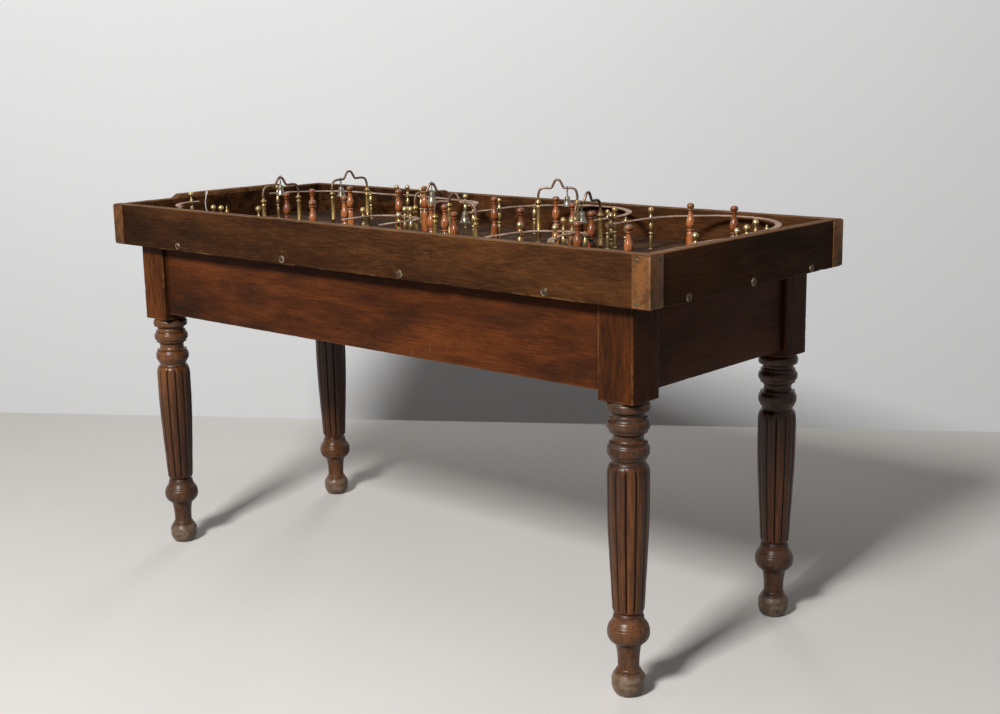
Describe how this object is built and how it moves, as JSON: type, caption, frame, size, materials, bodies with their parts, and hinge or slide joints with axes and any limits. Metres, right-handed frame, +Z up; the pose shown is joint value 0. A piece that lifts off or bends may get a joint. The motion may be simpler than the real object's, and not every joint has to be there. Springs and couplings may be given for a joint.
{
  "type": "table ninepins game",
  "caption": "Wooden table game: a walled tray on turned reeded legs, with curved rails on brass posts, bells hung in wire arches, standing wooden pins and a cord.",
  "frame": {"origin": "on the floor, under the middle of the tray", "axes": "+X along the tray away from the launching end, +Y across it away from the picture's near side, +Z up"},
  "size_m": [1.5142, 0.6232, 0.8681],
  "materials": {
    "tray_wood": "dark waxed walnut-brown, worn paler along the rim",
    "base_wood": "dark red-brown, waxed, feet worn greyish",
    "playfield_wood": "dull grey-brown board with pale worn arcs",
    "strap_copper": "copper-brown patina with grey-green spots",
    "arch_brass": "aged yellow-green brass tubes, dark wire",
    "rail_iron": "brown iron band on aged brass posts",
    "bell_metal": "silvery grey with a green tinge",
    "pin_wood": "glossy red-brown turned wood",
    "eye_brass": "aged brass",
    "cord_cotton": "off-white twisted cotton"
  },
  "bodies": {
    "table": {"playfield_board": "playfield_wood", "long_wall_front": "tray_wood", "long_wall_back": "tray_wood", "end_wall_left": "tray_wood", "end_wall_right": "tray_wood", "corner_strap_front_left": "strap_copper", "corner_strap_front_right": "strap_copper", "corner_strap_back_left": "strap_copper", "corner_strap_back_right": "strap_copper", "leg_front_left": "base_wood", "leg_front_right": "base_wood", "leg_back_left": "base_wood", "leg_back_right": "base_wood", "apron_front": "base_wood", "apron_back": "base_wood", "apron_left": "base_wood", "apron_right": "base_wood", "rail_corner_left": "rail_iron", "rail_left_ring": "rail_iron", "rail_back": "rail_iron", "rail_front_left": "rail_iron", "rail_front_loop": "rail_iron", "rail_middle_ring": "rail_iron", "rail_front_arc": "rail_iron", "rail_front_spur": "rail_iron", "rail_right_ring": "rail_iron", "bell_arch_1": "arch_brass", "bell_arch_2": "arch_brass", "bell_arch_3": "arch_brass", "bell_arch_4": "arch_brass", "bell_arch_5": "arch_brass", "bell_arch_6": "arch_brass", "string_eye": "eye_brass", "string": "cord_cotton", "string_coil": "cord_cotton"},
    "bell_1": {"bell_1": "bell_metal"},
    "bell_2": {"bell_2": "bell_metal"},
    "bell_3": {"bell_3": "bell_metal"},
    "bell_4": {"bell_4": "bell_metal"},
    "bell_5": {"bell_5": "bell_metal"},
    "bell_6": {"bell_6": "bell_metal"},
    "pin_01": {"pin_01": "pin_wood"},
    "pin_02": {"pin_02": "pin_wood"},
    "pin_03": {"pin_03": "pin_wood"},
    "pin_04": {"pin_04": "pin_wood"},
    "pin_05": {"pin_05": "pin_wood"},
    "pin_06": {"pin_06": "pin_wood"},
    "pin_07": {"pin_07": "pin_wood"},
    "pin_08": {"pin_08": "pin_wood"},
    "pin_09": {"pin_09": "pin_wood"},
    "pin_10": {"pin_10": "pin_wood"},
    "pin_11": {"pin_11": "pin_wood"},
    "pin_12": {"pin_12": "pin_wood"},
    "pin_13": {"pin_13": "pin_wood"},
    "pin_14": {"pin_14": "pin_wood"},
    "pin_15": {"pin_15": "pin_wood"},
    "pin_16": {"pin_16": "pin_wood"},
    "pin_17": {"pin_17": "pin_wood"},
    "pin_18": {"pin_18": "pin_wood"},
    "pin_19": {"pin_19": "pin_wood"}
  },
  "joints": [
    {"name": "bell_1_swing", "type": "hinge", "parent": "table", "child": "bell_1", "pos_m": [-0.35964, -0.142, 0.86354], "axis": [-0.07, 0.9975, 0], "range_deg": [-25, 25]},
    {"name": "bell_2_swing", "type": "hinge", "parent": "table", "child": "bell_2", "pos_m": [-0.35162, 0.02513, 0.84664], "axis": [0, 1, 0], "range_deg": [-25, 25]},
    {"name": "bell_3_swing", "type": "hinge", "parent": "table", "child": "bell_3", "pos_m": [0.03757, -0.07597, 0.86342], "axis": [0.3348, 0.9423, 0], "range_deg": [-25, 25]},
    {"name": "bell_4_swing", "type": "hinge", "parent": "table", "child": "bell_4", "pos_m": [0.24675, -0.19979, 0.84664], "axis": [0.9937, 0.1122, 0], "range_deg": [-25, 25]},
    {"name": "bell_5_swing", "type": "hinge", "parent": "table", "child": "bell_5", "pos_m": [0.22213, 0.13149, 0.84664], "axis": [0.8526, 0.5226, 0], "range_deg": [-25, 25]},
    {"name": "bell_6_swing", "type": "hinge", "parent": "table", "child": "bell_6", "pos_m": [0.42968, -0.07874, 0.84664], "axis": [-0.1025, 0.9947, 0], "range_deg": [-25, 25]},
    {"name": "pin_01_fall", "type": "hinge", "parent": "table", "child": "pin_01", "pos_m": [-0.31191, -0.15825, 0.734], "axis": [-0.0872, 0.9962, 0], "range_deg": [0, 90]},
    {"name": "pin_02_fall", "type": "hinge", "parent": "table", "child": "pin_02", "pos_m": [-0.14825, -0.2359, 0.734], "axis": [-0.5736, -0.8192, 0], "range_deg": [0, 90]},
    {"name": "pin_03_fall", "type": "hinge", "parent": "table", "child": "pin_03", "pos_m": [-0.32781, -0.07309, 0.734], "axis": [0, 1, 0], "range_deg": [0, 90]},
    {"name": "pin_04_fall", "type": "hinge", "parent": "table", "child": "pin_04", "pos_m": [-0.15154, -0.13345, 0.734], "axis": [-0.9397, 0.342, 0], "range_deg": [0, 90]},
    {"name": "pin_05_fall", "type": "hinge", "parent": "table", "child": "pin_05", "pos_m": [-0.30677, 0.01903, 0.734], "axis": [0, 1, 0], "range_deg": [0, 90]},
    {"name": "pin_06_fall", "type": "hinge", "parent": "table", "child": "pin_06", "pos_m": [-0.15066, 0.01988, 0.734], "axis": [0, 1, 0], "range_deg": [0, 90]},
    {"name": "pin_07_fall", "type": "hinge", "parent": "table", "child": "pin_07", "pos_m": [-0.17543, 0.10593, 0.734], "axis": [0, -1, 0], "range_deg": [0, 90]},
    {"name": "pin_08_fall", "type": "hinge", "parent": "table", "child": "pin_08", "pos_m": [0.10816, -0.13856, 0.734], "axis": [-0.9397, 0.342, 0], "range_deg": [0, 90]},
    {"name": "pin_09_fall", "type": "hinge", "parent": "table", "child": "pin_09", "pos_m": [0.15394, -0.14611, 0.734], "axis": [-0.766, 0.6428, 0], "range_deg": [0, 90]},
    {"name": "pin_10_fall", "type": "hinge", "parent": "table", "child": "pin_10", "pos_m": [0.24695, -0.23913, 0.734], "axis": [0, -1, 0], "range_deg": [0, 90]},
    {"name": "pin_11_fall", "type": "hinge", "parent": "table", "child": "pin_11", "pos_m": [0.13659, 0.00007, 0.734], "axis": [0.866, 0.5, 0], "range_deg": [0, 90]},
    {"name": "pin_12_fall", "type": "hinge", "parent": "table", "child": "pin_12", "pos_m": [0.31733, -0.11302, 0.734], "axis": [-1, 0, 0], "range_deg": [0, 90]},
    {"name": "pin_13_fall", "type": "hinge", "parent": "table", "child": "pin_13", "pos_m": [0.24035, 0.08406, 0.734], "axis": [0, 1, 0], "range_deg": [0, 90]},
    {"name": "pin_14_fall", "type": "hinge", "parent": "table", "child": "pin_14", "pos_m": [0.33207, 0.00853, 0.734], "axis": [-0.5, -0.866, 0], "range_deg": [0, 90]},
    {"name": "pin_15_fall", "type": "hinge", "parent": "table", "child": "pin_15", "pos_m": [0.54802, -0.22523, 0.734], "axis": [-0.9659, 0.2588, 0], "range_deg": [0, 90]},
    {"name": "pin_16_fall", "type": "hinge", "parent": "table", "child": "pin_16", "pos_m": [0.47251, -0.08976, 0.734], "axis": [-0.342, 0.9397, 0], "range_deg": [0, 90]},
    {"name": "pin_17_fall", "type": "hinge", "parent": "table", "child": "pin_17", "pos_m": [0.64687, -0.21837, 0.734], "axis": [-0.9397, -0.342, 0], "range_deg": [0, 90]},
    {"name": "pin_18_fall", "type": "hinge", "parent": "table", "child": "pin_18", "pos_m": [0.53927, 0.1258, 0.734], "axis": [-0.9659, 0.2588, 0], "range_deg": [0, 90]},
    {"name": "pin_19_fall", "type": "hinge", "parent": "table", "child": "pin_19", "pos_m": [0.63155, 0.10846, 0.734], "axis": [0.9397, -0.342, 0], "range_deg": [0, 90]}
  ]
}
